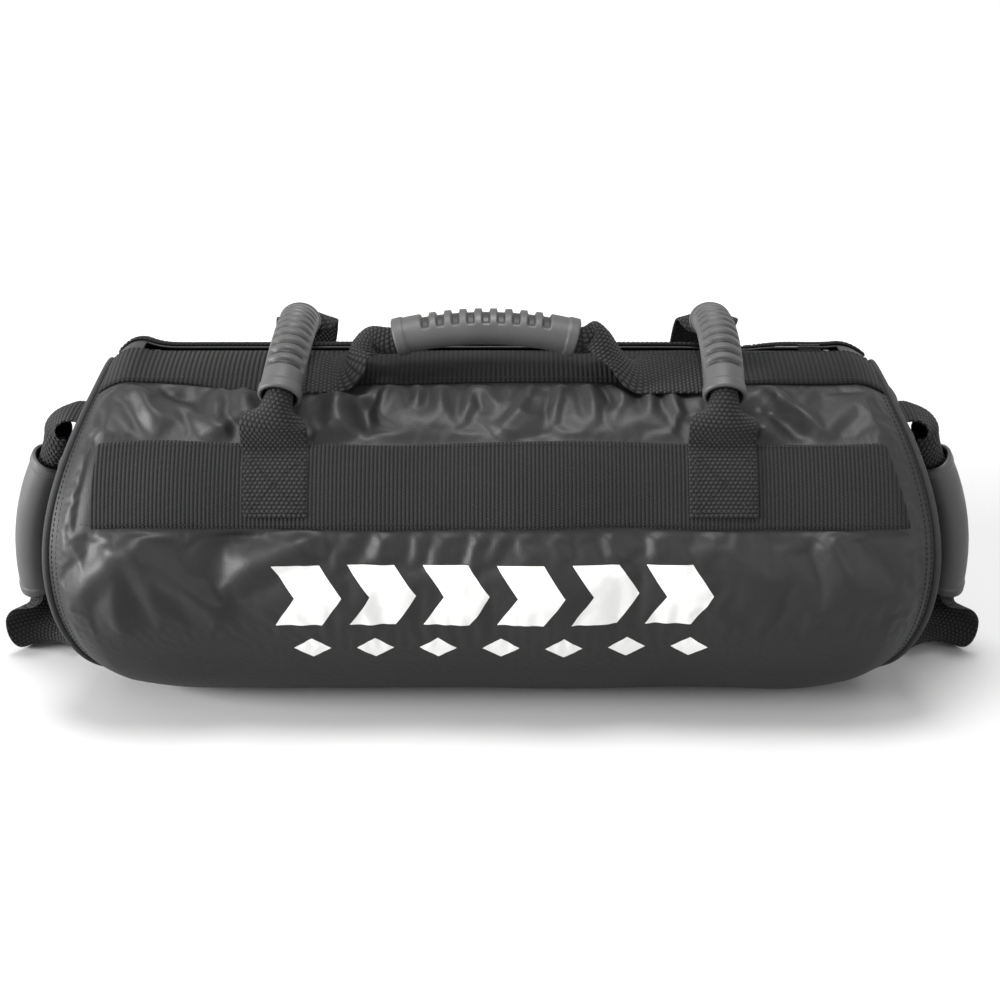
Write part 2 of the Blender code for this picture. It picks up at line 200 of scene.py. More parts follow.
def coated_nylon(name, grey, roughness, emblem=False):
    made = Finish(name, roughness=roughness, specular_ior_level=0.28)
    place = made.place()
    cloudy = made.noise(place, 14, 4)
    fine = made.noise(place, 900, 2)
    u, v = made.split(made.cloth_place())[:2]
    weave = pillow(u / 0.0011) * 0.5 + pillow(v / 0.0011) * 0.5
    tone = cloudy * 0.55 + fine * 0.45
    dark, light = [grey * 0.72] * 3, [grey * 1.3] * 3
    colour = made.blend(tone, dark, light)
    if emblem:
        mark = emblem_mask(u, v)
        thread = pillow((u + v) / 0.0014) * 0.25 + 0.75
        white = made.blend(thread, (0.42, 0.42, 0.41), (0.62, 0.62, 0.61))
        colour = made.blend(mark, colour, white)
        made.set("Roughness", made.ramp(mark, 0, 1, roughness, 0.75))
        weave = weave + mark * thread * 2
    else:
        made.set("Roughness", made.ramp(cloudy, 0.3, 0.7, roughness - 0.06,
                                        roughness + 0.08))
    made.set("Base Color", colour)
    rough = made.bump(made.noise(place, 260, 3), 0.0006, 0.25)
    made.set("Normal", made.bump(weave, 0.00012, 0.45, rough))
    return made.material


def emblem_mask(u, v):
    """Six chevrons in a row, over a row of diamonds."""
    x = u - 0.0185
    up = (v - 0.2230).abs()
    slope = (x + 0.162 + up * 0.62) / 0.0535
    bars = ((slope % 1.0 - 0.36).abs().below(0.31)) * (slope.floor() - 2.5).abs().below(2.9)
    bars = bars * up.below(0.0245)
    cell = (((x + 0.1725) / 0.046) % 1.0 - 0.5).abs() * 0.046
    number = ((x + 0.1725) / 0.046).floor()
    diamond = (cell * 0.75 + (v - 0.2705).abs()).below(0.0102) * (number - 3).abs().below(3.2)
    return bars.most(diamond)


def webbing(name, grey, pitch, stagger, across=True, strength=0.8):
    """Woven webbing: rows of raised yarns that cross the tape, or staggered dots."""
    made = Finish(name, roughness=0.80, specular_ior_level=0.12, sheen_weight=0.04)
    u, v = made.split(made.cloth_place())[:2]
    row = (u / pitch).floor()
    if across:
        yarn = pillow(u / pitch) * (0.55 + 0.45 * pillow(v / 0.0017 + row * stagger))
    else:
        yarn = pillow(u / pitch) * pillow(v / 0.0035 + row * stagger)
    fuzz = made.noise(made.place(), 700, 3)
    wear_and_painted_shade = made.noise(made.place(), 30, 4)
    # Raised yarns are painted lighter and the gaps between them darker: painted highlight and
    # shade on the yarns, varied by fuzz and wear noise.
    light = yarn * (0.55 + 0.45 * fuzz) * (0.7 + 0.6 * wear_and_painted_shade)
    made.set("Base Color", made.blend(light, [grey * 0.30] * 3, [grey * 1.9] * 3))
    made.set("Normal", made.bump(yarn + fuzz * 0.2, 0.0009, strength))
    return made.material


def moulded_rubber():
    made = Finish("grip_rubber", roughness=0.52, specular_ior_level=0.4)
    place = made.place()
    grain = made.noise(place, 1400, 2)
    wear_and_painted_shade = made.noise(place, 45, 4)
    groove = made.split(made.cloth_place())[0]
    tone = made.blend(grain * 0.4 + wear_and_painted_shade * 0.6, (0.025,) * 3, (0.053,) * 3)
    # The grooves and the bore, marked in the UVs, are painted near black: painted shade in the
    # recesses.
    made.set("Base Color", made.blend(groove, tone, (0.010,) * 3))
    made.set("Roughness", made.ramp(wear_and_painted_shade, 0.3, 0.7, 0.44, 0.60))
    made.set("Normal", made.bump(grain, 0.00015, 0.5))
    return made.material


def plain_cloth(name, colour, roughness=0.85):
    made = Finish(name, roughness=roughness, specular_ior_level=0.3)
    place = made.place()
    x, y, z = made.split(place)
    weave = pillow((x + z) / 0.0012) * pillow((y - z) / 0.0012)
    tone = made.noise(place, 120, 3)
    made.set("Base Color", made.blend(tone, [c * 0.7 for c in colour],
                                      [c * 1.25 for c in colour]))
    made.set("Normal", made.bump(weave, 0.0002, 0.6))
    return made.material


def black_metal():
    made = Finish("black_metal", roughness=0.35, metallic=0.85)
    scratch = made.noise(made.place(), 300, 4, (1, 1, 8))
    made.set("Base Color", made.blend(scratch, (0.020,) * 3, (0.065,) * 3))
    made.set("Roughness", made.ramp(scratch, 0.3, 0.7, 0.28, 0.46))
    return made.material


def loose_sand():
    made = Finish("sand", roughness=0.95, specular_ior_level=0.3)
    grains = made.noise(made.place(), 900, 2)
    made.set("Base Color", made.blend(grains, (0.36, 0.27, 0.17), (0.66, 0.55, 0.40)))
    made.set("Normal", made.bump(grains, 0.0006, 0.8))
    return made.material


def pale_floor():
    made = Finish("floor", roughness=0.95, specular_ior_level=0.05)
    place = made.place()
    far = made.node("ShaderNodeVectorMath", {"operation": "LENGTH"}, place, out=1)
    made.set("Base Color", made.blend(made.ramp(far, 0.5, 1.7), (0.46,) * 3, (0.97,) * 3))
    return made.material


MATERIALS = {
    "nylon": coated_nylon("nylon_wrap", 0.010, 0.52, emblem=True),
    "panel": coated_nylon("nylon_panel", 0.013, 0.52),
    "band": webbing("band_webbing", 0.010, YARN, 0.5),
    "strip": webbing("strip_webbing", 0.0058, RIB, 0.0, strength=0.5),
    "strap": webbing("strap_webbing", 0.014, YARN, 0.5, across=False, strength=1.0),
    "rubber": moulded_rubber(),
    "thread": plain_cloth("thread", (0.012, 0.012, 0.012)),
    "piping": plain_cloth("piping", (0.022, 0.022, 0.023)),
    "tape": plain_cloth("zip_tape", (0.016, 0.016, 0.017)),
    "teeth": plain_cloth("zip_teeth", (0.012, 0.012, 0.012), 0.4),
    "metal": black_metal(),
    "liner": plain_cloth("liner_cloth", (0.26, 0.26, 0.25)),
    "closure": plain_cloth("hook_and_loop", (0.03, 0.03, 0.03), 0.95),
    "sand": loose_sand(),
}


# ---- Meshes -------------------------------------------------------------------------
def piece(name, points, faces, material, uv=None):
    mesh = bpy.data.meshes.new(name)
    mesh.from_pydata(np.asarray(points, float).reshape(-1, 3).tolist(), [], faces)
    if uv is not None:
        layer = mesh.uv_layers.new(name="cloth")
        index = np.empty(len(mesh.loops), np.int32)
        mesh.loops.foreach_get("vertex_index", index)
        layer.data.foreach_set("uv", np.asarray(uv, np.float32).reshape(-1, 2)[index].ravel())
    mesh.shade_smooth()
    mesh.materials.append(MATERIALS[material])
    made = bpy.data.objects.new(name, mesh)
    bpy.context.scene.collection.objects.link(made)
    return made


def quads(rows, columns, wrap_rows=False, wrap_columns=False, start=0, turned=False):
    faces = []
    for i in range(rows if wrap_rows else rows - 1):
        for j in range(columns if wrap_columns else columns - 1):
            a, b = i * columns, (i + 1) % rows * columns
            k = (j + 1) % columns
            face = (start + a + j, start + a + k, start + b + k, start + b + j)
            faces.append(face[::-1] if turned else face)
    return faces


def slab(name, outer, inner, material, uv):
    """A closed sheet from the grids of its two sides, of rows by columns by 3."""
    rows, columns = outer.shape[:2]
    n = rows * columns
    faces = quads(rows, columns) + quads(rows, columns, start=n, turned=True)
    edge = [j for j in range(columns)]
    edge += [i * columns + columns - 1 for i in range(1, rows)]
    edge += [(rows - 1) * columns + j for j in range(columns - 2, -1, -1)]
    edge += [i * columns for i in range(rows - 2, 0, -1)]
    for a, b in zip(edge, edge[1:] + edge[:1]):
        faces.append((b, a, a + n, b + n))
    points = np.concatenate([outer.reshape(-1, 3), inner.reshape(-1, 3)])
    both = np.concatenate([uv.reshape(-1, 2)] * 2)
    return piece(name, points, faces, material, both)


def smoothstep(value):
    value = np.clip(value, 0, 1)
    return value * value * (3 - 2 * value)


# ---- The bag's surface --------------------------------------------------------------
def section(angle):
    turn = np.radians(angle)
    side, up = np.sin(turn), np.cos(turn)
    low = up < 0
    wide = np.where(low, np.sign(side) * np.abs(side) ** UNDERSIDE_POWER, side)
    down = MID_Z - (MID_Z + FLAT_SINK) * np.abs(up) ** UNDERSIDE_POWER
    return -HALF_WIDTH * wide, np.where(low, down, MID_Z + TOP_RISE * up)


def outward(angle):
    (y0, z0), (y1, z1) = section(angle - 0.6), section(angle + 0.6)
    normal = np.stack([0 * y0, z1 - z0, y0 - y1], -1)
    return normal / np.linalg.norm(normal, axis=-1, keepdims=True)


RING = np.linspace(-180, 180, 1441)
RING_PLACE = np.stack(section(RING), -1)
RING_STEP = np.linalg.norm(np.diff(RING_PLACE, axis=0), axis=1)
RING_ARC = np.concatenate([[0], np.cumsum(RING_STEP)])
RING_ARC -= np.interp(0, RING, RING_ARC)


def arc_of(angle):
    """Distance round the bag from the top, positive towards the front."""
    return np.interp(angle, RING, RING_ARC)


def seam_x(angle):
    return HALF_LENGTH + END_REACH - SEAM_SETBACK * np.cos(np.radians(angle)) ** 2


def bag_point(share, angle, lift=0.0):
    share, angle, lift = np.broadcast_arrays(
        np.asarray(share, float), np.asarray(angle, float), np.asarray(lift, float))
    low = (1 - np.cos(np.radians(angle))) / 2
    most = TAPER_TOP + (TAPER_BOTTOM - TAPER_TOP) * low
    past = np.clip((np.abs(share) - TAPER_START) / (1 - TAPER_START), 0, 1)
    tuck = np.clip((np.abs(share) - TUCK_START) / (1 - TUCK_START), 0, 1)
    size = 1 - most * past**2.5 - TUCK * tuck**1.6
    y, z = section(angle)
    below = z < MID_Z
    rise = np.where(below, 1 - most * past**2.5 - 0.3 * TUCK * tuck**1.6, size)
    x = share * seam_x(angle)
    place = np.stack([x, y * size, MID_Z + (z - MID_Z) * rise], -1)
    return place + outward(angle) * (lift + slump(x, angle))[..., None]


def slump(x, angle):
    """Low uneven swelling that the webbing follows too."""
    near_top = np.exp(-((angle + 12) / 26) ** 2)
    total = 0.0075 * np.exp(-((x + 0.279) / 0.017) ** 2) * near_top
    total = total + 0.0030 * np.exp(-((x - 0.282) / 0.016) ** 2) * near_top
    hollow = np.exp(-((angle - 11) / 9) ** 2) + np.exp(-((angle + 19) / 9) ** 2)
    total = total - 0.0055 * np.exp(-((x - 0.187) / 0.022) ** 2) * hollow
    front = np.exp(-((angle - 62) / 30) ** 2)
    total = total + front * (0.0022 * np.sin(x * 21 + 0.6) + 0.0012 * np.sin(x * 47))
    back = np.exp(-((angle + 75) / 32) ** 2)
    return total + back * 0.0025 * np.sin(x * 19 + 2.0)


def crease(x, s, start, end, width, height):
    """A fold's height over the cloth, as a ridge from start to end that fades out."""
    (x0, s0), (x1, s1) = start, end
    along = np.array([x1 - x0, s1 - s0])
    length = np.hypot(*along)
    t = ((x - x0) * along[0] + (s - s0) * along[1]) / length**2
    side = ((x - x0) * -along[1] + (s - s0) * along[0]) / length
    fade = smoothstep(t / 0.25 + 0.4) * smoothstep((1 - t) / 0.45)
    bulge = np.exp(-(side / width) ** 2) - 0.45 * np.exp(-((side - 1.9 * width) / width) ** 2)
    return height * fade * bulge


def fan(x, s, corner, turns, length, width, height):
    """Creases that spread from a sewn corner, at these angles from straight down."""
    total = 0 * x
    for k, turn in enumerate(turns):
        reach = length * (0.75 + 0.4 * ((k * 0.618) % 1))
        way = np.array([math.sin(math.radians(turn)), math.cos(math.radians(turn))])
        start = np.array(corner) + way * 0.008
        total += crease(x, s, start, start + way * reach, width, height)
    return total


def gathers(x, s, first, last, top, bottom, pitch, height, seed):
    """Soft upright puckers along a seam."""
    made = np.random.default_rng(seed)
    total = 0 * x
    for place in np.arange(first, last, pitch):
        place += made.uniform(-0.4, 0.4) * pitch
        lean = made.uniform(-0.35, 0.35) * (bottom - top)
        reach = made.uniform(0.45, 1.0)
        end = (place + lean, top + (bottom - top) * reach)
        tall = height * made.uniform(0.4, 1.0)
        total += crease(x, s, (place, top), end, pitch * made.uniform(0.18, 0.3), tall)
    return total


def front_folds(x, s):
    """The folds between the top strip and the band, and under the band."""
    rows = (
        (fan, (-0.190, 0.112), (150, 168, 200, 225), 0.055, 0.007, 0.0036),
        (crease, (-0.262, 0.062), (-0.232, 0.108), 0.007, 0.0045),
        (crease, (-0.240, 0.056), (-0.205, 0.100), 0.008, -0.0035),
        (crease, (-0.114, 0.068), (-0.112, 0.114), 0.010, 0.0062),
        (crease, (-0.094, 0.072), (-0.086, 0.105), 0.008, -0.0050),
        (fan, (-0.137, 0.108), (110, 140, 165), 0.050, 0.007, 0.0030),
        (gathers, -0.070, 0.135, 0.056, 0.108, 0.017, 0.0034, 3),
        (crease, (0.005, 0.104), (0.035, 0.080), 0.011, 0.0040),
        (crease, (0.198, 0.060), (0.250, 0.108), 0.007, 0.0042),
        (crease, (0.190, 0.074), (0.232, 0.110), 0.008, -0.0030),
        (fan, (0.187, 0.112), (120, 150, 205), 0.050, 0.008, 0.0030),
        (crease, (-0.125, 0.180), (-0.205, 0.212), 0.012, 0.0070),
        (fan, (-0.265, 0.176), (-30, -5, 25, 48), 0.085, 0.009, 0.0046),
        (gathers, -0.120, 0.120, 0.177, 0.215, 0.021, 0.0028, 5),
        (crease, (0.150, 0.180), (0.215, 0.220), 0.012, 0.0028),
        (crease, (0.240, 0.178), (0.262, 0.225), 0.010, 0.0040),
    )
    return sum(make(x, s, *sizes) for make, *sizes in rows)


def back_folds(x, s):
    """The same kinds of fold on the far side, where s is the distance towards it."""
    total = gathers(x, s, -0.250, 0.250, 0.074, 0.110, 0.023, 0.0034, 11)
    total += gathers(x, s, -0.260, 0.260, 0.177, 0.235, 0.030, 0.0036, 13)
    for side in (-1, 1):
        total += fan(x, s, (side * 0.190, 0.112), (120, 150, 205), 0.045, 0.008, 0.0034)
        total += fan(x, s, (side * 0.262, 0.176), (-40, -10, 20, 45), 0.080, 0.009, 0.0042)
        total += crease(x, s, (side * 0.06, 0.180), (side * 0.15, 0.220), 0.012, 0.0055)
    return total


def ripple(x, s, seed, waves=14, longest=0.22, shortest=0.05):
    """Low uneven swelling of packed cloth."""
    made = np.random.default_rng(seed)
    total = 0 * x
    for _ in range(waves):
        length = made.uniform(shortest, longest)
        turn = made.uniform(-0.6, 0.6)
        phase = made.uniform(0, math.tau)
        along = x * math.cos(turn) + s * math.sin(turn)
        total += np.sin(along * math.tau / length + phase) * length * 0.010
    return total / math.sqrt(waves)


def within(value, low, high, soft):
    return smoothstep((value - low) / soft + 1) * smoothstep((high - value) / soft + 1)


def held(x, share, angle):
    """1 where webbing or a seam holds the cloth down, 0 where it is loose."""
    soft = 3.0
    total = smoothstep((np.abs(share) - 0.985) / 0.03 + 1)
    total = np.maximum(total, within(angle, BACK_STRIP[0], FRONT_STRIP[1], soft))
    in_bands = np.abs(share) < BAND_SHARE + 0.02
    for low, high in (FRONT_BAND, BACK_BAND):
        total = np.maximum(total, within(angle, low, high, soft) * in_bands)
    for side in (-1, 1):
        tab = within(x, side * CROSS_X - TAB_HALF_WIDTH, side * CROSS_X + TAB_HALF_WIDTH, 0.006)
        for low, high in ((39, 50), (-50, -39)):
            total = np.maximum(total, tab * within(angle, low, high, soft))
    return np.maximum(total, within(180 - np.abs(angle), -1, 14, 6))


def wrap_shape():
    """Angles, shares and points of the wrap's cloth, before it is slackened."""
    angles = np.linspace(-180, 180, LOOSE_ROUND + 1)[:-1]
    shares = np.linspace(-1, 1, LOOSE_ALONG + 1)
    ends = np.sign(shares) * (1 - (1 - np.abs(shares)) ** 1.25)
    angle, share = np.meshgrid(angles, ends)
    x, s = share * seam_x(angle), arc_of(angle)
    loose = 1 - held(x, share, angle)
    loose = loose * (1 - 0.65 * smoothstep((np.abs(angle) - 100) / 30))
    folds = np.where(s >= 0, front_folds(x, s), back_folds(x, -s))
    lift = (folds * 1.35 + ripple(x, s, 21) + 0.0012) * loose
    return angle, share, x, s, loose, lift


def make_wrap():
    angle, share, x, s, loose, lift = wrap_shape()
    place = bag_point(share, angle, lift)
    place[..., 2] = np.maximum(place[..., 2], ON_FLOOR)
    uv = np.stack([x, s], -1)
    rows, columns = angle.shape
    made = piece("wrap", place, quads(rows, columns, wrap_columns=True), "nylon", uv)
    fix_seam_uv(made)
    slacken(made, loose.ravel())
    cut_zip_mouth(made, angle, x)
    finer = made.modifiers.new("finer", "SUBSURF")
    finer.levels = finer.render_levels = 1
    wall = made.modifiers.new("wall", "SOLIDIFY")
    wall.thickness, wall.offset = CLOTH, -1
    return made


def fix_seam_uv(made):
    """The last column of faces closes the tube, so its far corners count on round it."""
    layer = made.data.uv_layers["cloth"].data
    whole = RING_ARC[-1] - RING_ARC[0]
    for face in made.data.polygons:
        values = [layer[i].uv[1] for i in face.loop_indices]
        if max(values) - min(values) > whole / 2:
            for i in face.loop_indices:
                if layer[i].uv[1] < 0:
                    layer[i].uv[1] += whole


def slacken(made, loose):
    """Blows the wrap up between its seams with a little cloth to spare, so it buckles."""
    start = np.empty(len(made.data.vertices) * 3)
    made.data.vertices.foreach_get("co", start)
    start = start.reshape(-1, 3)
    pins = made.vertex_groups.new(name="sewn")
    for index, value in enumerate(loose):
        pins.add([index], float(1 - value) ** 0.6, "REPLACE")
    cloth = made.modifiers.new("slack", "CLOTH")
    way = cloth.settings
    way.quality, way.mass, way.time_scale = 6, 0.15, 1.0
    way.tension_stiffness = way.compression_stiffness = 18
    way.shear_stiffness, way.bending_stiffness = 6, 1.2
    way.tension_damping = way.compression_damping = way.shear_damping = 12
    way.bending_damping, way.air_damping = 1.5, 3
    way.vertex_group_mass = "sewn"
    way.pin_stiffness = 4
    way.use_pressure, way.uniform_pressure_force = True, 3.0
    way.shrink_min = way.shrink_max = -0.035
    way.effector_weights.gravity = 0
    cloth.collision_settings.use_collision = False
    cloth.point_cache.frame_start, cloth.point_cache.frame_end = 1, SLACK_FRAMES
    for step in range(1, SLACK_FRAMES + 1):
        bpy.context.scene.frame_set(step)
    graph = bpy.context.evaluated_depsgraph_get()
    result = made.evaluated_get(graph).data
    end = np.empty_like(start).ravel()
    result.vertices.foreach_get("co", end)
    made.modifiers.remove(cloth)
    made.vertex_groups.clear()
    move = end.reshape(-1, 3) - start
    far = np.linalg.norm(move, axis=1, keepdims=True)
    end = start + move * (SLACK_CAP * np.tanh(far / SLACK_CAP) / np.maximum(far, 1e-9))
    end[:, 2] = np.maximum(end[:, 2], ON_FLOOR)
    made.data.vertices.foreach_set("co", end.ravel())
    bpy.context.scene.frame_set(1)
    made.data.update()


def cut_zip_mouth(made, angle, x):
    """Takes out the cloth over the zip, so that the tapes show."""
    inside = (angle > SLOT[0] - 0.1) & (angle < SLOT[1] + 0.1) & (np.abs(x) < SLOT_REACH)
    inside = inside.ravel()
    kit = bmesh.new()
    kit.from_mesh(made.data)
    gone = [f for f in kit.faces if all(inside[v.index] for v in f.verts)]
    bmesh.ops.delete(kit, geom=gone, context="FACES")
    kit.to_mesh(made.data)
    kit.free()


def make_panel(name, side):
    """The round cloth of one end, sewn to the wrap all round and pushed out by the sand."""
    angles = np.linspace(-180, 180, 217)[:-1]
    sizes = np.linspace(1, 0, 46)[:-1] ** 0.85
    size, angle = np.meshgrid(sizes, angles, indexing="ij")
    rim = bag_point(np.full_like(angles, side), angles)
    rim[:, 2] = np.maximum(rim[:, 2], 0.0012)
    made = np.random.default_rng(31 + side)
    y = rim[None, :, 1] * size
    z = MID_Z + (rim[None, :, 2] - MID_Z) * size
    out = np.abs(rim[None, :, 0]) + (PANEL_REACH - np.abs(rim[None, :, 0])) * (1 - size**2)
    puckers = 0 * size
    for _ in range(26):
        turn, width = made.uniform(-180, 180), made.uniform(2.5, 6)
        reach = made.uniform(0.45, 0.8)
        away = (angle - turn + 180) % 360 - 180 + 14 * made.uniform(-1, 1) * (1 - size)
        fade = smoothstep((size - reach) / (1 - reach)) * smoothstep((1 - size) / 0.05)
        fade = fade * smoothstep(size * 4)
        puckers += made.uniform(0.4, 1.0) * 0.0028 * fade * np.exp(-(away / width) ** 2)
    low = smoothstep((0.085 - z) / 0.05) * smoothstep((1 - size) / 0.06)
    slump = 0.0022 * low * np.sin(z * 190 + 9 * y)
    swell = 0.0014 * np.sin(y * 31 + 1.1) * np.sin(z * 37 + side) * (1 - size**4)
    x = side * (out + puckers + slump + swell)
    points = np.stack([x, y, z], -1)
    n = points[..., 0].size
    faces = quads(45, 216, wrap_columns=True, turned=side > 0)
    last = 44 * 216
    for j in range(216):
        face = (last + j, last + (j + 1) % 216, n)
        faces.append(face[::-1] if side > 0 else face)
    middle = points[-1].mean(0, keepdims=True)
    points = np.concatenate([points.reshape(-1, 3), middle])
    uv = points[:, 1:3] + 0.5
    panel = piece(name, points, faces, "panel", uv)
    wall = panel.modifiers.new("wall", "SOLIDIFY")
    wall.thickness, wall.offset = CLOTH, -1
    return panel


def tube(name, points, radius, material, sides=10, closed=True):
    """Round cord through these points."""
    points = np.asarray(points)
    count = len(points)
    if closed:
        run = np.roll(points, -1, 0) - np.roll(points, 1, 0)
    else:
        run = np.gradient(points, axis=0)
    run /= np.linalg.norm(run, axis=1, keepdims=True)
    side = np.cross(run, (1.0, 0.0, 0.0))
    side /= np.linalg.norm(side, axis=1, keepdims=True)
    up = np.cross(side, run)
    turns = np.linspace(0, math.tau, sides + 1)[:-1]
    ring = (side[:, None] * np.cos(turns)[None, :, None]
            + up[:, None] * np.sin(turns)[None, :, None])
    grid = points[:, None] + ring * radius
    length = np.concatenate([[0], np.cumsum(np.linalg.norm(np.diff(points, axis=0), axis=1))])
    uv = np.stack(np.broadcast_arrays(length[:, None], turns[None] * radius), -1)
    made = piece(name, grid, quads(count, sides, closed, True), material, uv)
    return outwards(made)


def outwards(made):
    kit = bmesh.new()
    kit.from_mesh(made.data)
    bmesh.ops.recalc_face_normals(kit, faces=kit.faces)
    kit.to_mesh(made.data)
    kit.free()
    return made


def make_piping(name, side):
    angles = np.linspace(-180, 180, 361)[:-1]
    rim = bag_point(np.full_like(angles, side), angles)
    rim[:, 0] += side * 0.0012
    rim[:, 2] = np.maximum(rim[:, 2], 0.0026)
    return tube(name, rim, 0.0026, "piping")


# ---- Sewn webbing on the bag --------------------------------------------------------
def make_tape(name, angles, share, pitch, depth, material, seed, node_dips=False):
    """A long woven tape on the bag, its yarns crossing it as small ridges."""
    made = np.random.default_rng(seed)
    low, high = angles
    steps = int(round(2 * share * HALF_LENGTH / pitch)) * 4
    shares = np.linspace(-share, share, steps + 1)
    rows = max(12, int((arc_of(high) - arc_of(low)) / 0.0022))
    t, along = np.meshgrid(np.linspace(0, 1, rows + 1), shares, indexing="ij")
    phase = made.uniform(0, math.tau, 4)
    sway = 0.35 * np.sin(along * 7 + phase[0]) + 0.2 * np.sin(along * 17 + phase[1])
    angle = low + (high - low) * t + sway * (1 if high > 40 or high < -40 else 0.4)
    if node_dips:
        dip = (6.0 * np.exp(-((along * HALF_LENGTH + 0.175) / 0.045) ** 2)
               + 1.4 * np.exp(-((along * HALF_LENGTH + 0.070) / 0.030) ** 2)
               + 1.0 * np.exp(-((along * HALF_LENGTH - 0.255) / 0.040) ** 2))
        angle = angle + dip * t
    if low > 40:
        along = along * (1 + np.where(along < 0, -0.036, 0.024) * t * np.abs(along) ** 3)
    x, s = along * seam_x(angle), arc_of(angle)
    wave = 0.0006 * np.sin(along * 11 + phase[2]) * np.sin(t * 3 + phase[3])
    edge = np.minimum(t, 1 - t) * (arc_of(high) - arc_of(low))
    soft = smoothstep(edge / 0.0016)
    ridge = depth * (1 - (2 * ((x / pitch) % 1) - 1) ** 2) * soft
    top = 0.0021 + 0.0004 + wave + ridge - 0.0008 * (1 - soft)
    outer = bag_point(along, angle, top)
    inner = bag_point(along, angle, np.full_like(top, 0.0006))
    uv = np.stack([x, s], -1)
    return outwards(slab(name, outer, inner, material, uv))


# ---- Straps -------------------------------------------------------------------------
class Handle:
    """Frame of one handle: its middle, the way along, the way up and the way across."""

    def __init__(self, first, last, up, rise, bend=BEND):
        first, last, up = (np.array(p, float) for p in (first, last, up))
        self.rise, self.bend = rise, bend
        self.middle = (first + last) / 2
        self.along = (last - first) / np.linalg.norm(last - first)
        up = up - self.along * up.dot(self.along)
        self.up = up / np.linalg.norm(up)
        self.across = np.cross(self.up, self.along)

    def place(self, along, up, across=0.0):
        along, up, across = np.broadcast_arrays(along, up, across)
        return (self.middle + self.along * along[..., None] + self.up * up[..., None]
                + self.across * across[..., None])

    def ring(self, length, across, up):
        """Points round the bundle's curve, at a height square to it."""
        turn = length / self.bend
        s = (self.bend + up) * np.sin(turn)
        h = self.rise - self.bend + (self.bend + up) * np.cos(turn)
        return self.place(s, h, across)

    def bundle(self, first, last, count=5):
        """Path points of the rolled webbing inside the grip."""
        return [(self.ring(np.float64(a), 0.0, 0.0073), self.across, CURL)
                for a in np.linspace(first, last, count)]


def smooth_path(controls, step=0.00080):
    """Evenly spaced path points, ways across and curls through the controls."""
    rows = np.array([np.concatenate([p, a, [c]]) for p, a, c in controls], float)
    for before, row in zip(rows, rows[1:]):
        if row[3:6].dot(before[3:6]) < 0:
            row[3:6] *= -1
    rows = np.concatenate([[2 * rows[0] - rows[1]], rows, [2 * rows[-1] - rows[-2]]])
    fine = []
    for i in range(1, len(rows) - 2):
        p0, p1, p2, p3 = rows[i - 1:i + 3]
        t = np.linspace(0, 1, 41)[:-1, None]
        fine.append(0.5 * (2 * p1 + (p2 - p0) * t + (2 * p0 - 5 * p1 + 4 * p2 - p3) * t**2
                           + (3 * p1 - p0 - 3 * p2 + p3) * t**3))
    fine = np.concatenate(fine + [rows[-2:-1]])
    steps = np.linalg.norm(np.diff(fine[:, :3], axis=0), axis=1)
    length = np.concatenate([[0], np.cumsum(steps)])
    even = np.linspace(0, length[-1], int(length[-1] / step) + 1)
    rows = np.stack([np.interp(even, length, column) for column in fine.T], -1)
    for _ in range(6):
        rows[1:-1] = (rows[:-2] + 2 * rows[1:-1] + rows[2:]) / 4
    return even, rows[:, :3], rows[:, 3:6], np.clip(rows[:, 6], 0.002, 1)


def make_strap(name, controls, up, width=2 * TAB_HALF_WIDTH, wrinkle=0.0):
    """Webbing along a path: flat where it is sewn, and rolled lengthwise in the grip."""
    length, place, across, curl = smooth_path(controls)
    run = np.gradient(place, axis=0)
    run /= np.linalg.norm(run, axis=1, keepdims=True)
    across = across - run * (across * run).sum(1, keepdims=True)
    across /= np.linalg.norm(across, axis=1, keepdims=True)
    normal = np.cross(across, run)
    normal *= np.sign(normal[np.argmax(curl)].dot(up))
    columns = 53
    s = np.linspace(-width / 2, width / 2, columns)[None, :]
    bend = (curl * CURL * math.pi / (width / 2))[:, None]
    turn = bend * s
    side, depth = np.sin(turn) / bend, (1 - np.cos(turn)) / bend
    curve = place[:, None] + across[:, None] * side[..., None]
    curve = curve - normal[:, None] * depth[..., None]
    out = normal[:, None] * np.cos(turn)[..., None] + across[:, None] * np.sin(turn)[..., None]
    row = np.floor(length / YARN)[:, None]
    dots = (1 - (2 * (length[:, None] / YARN % 1) - 1) ** 2)
    dots = dots * (1 - (2 * ((s / 0.0035 + row * 0.5) % 1) - 1) ** 2)
    edge = smoothstep((width / 2 - np.abs(s)) / 0.0012)
    relief = 0.00032 * dots * edge + wrinkle * np.sin(length[:, None] * 210 + s * 90)
    half = STRAP / 2 * (0.55 + 0.45 * edge)
    outer = curve + out * (half + relief)[..., None]
    inner = curve - out * (half * np.ones_like(relief))[..., None]
    outer[..., 2] = np.maximum(outer[..., 2], 0.0022 + relief)
    inner[..., 2] = np.maximum(inner[..., 2], 0.0004)
    uv = np.stack(np.broadcast_arrays(length[:, None], s), -1)
    return outwards(slab(name, outer, inner, "strap", uv))


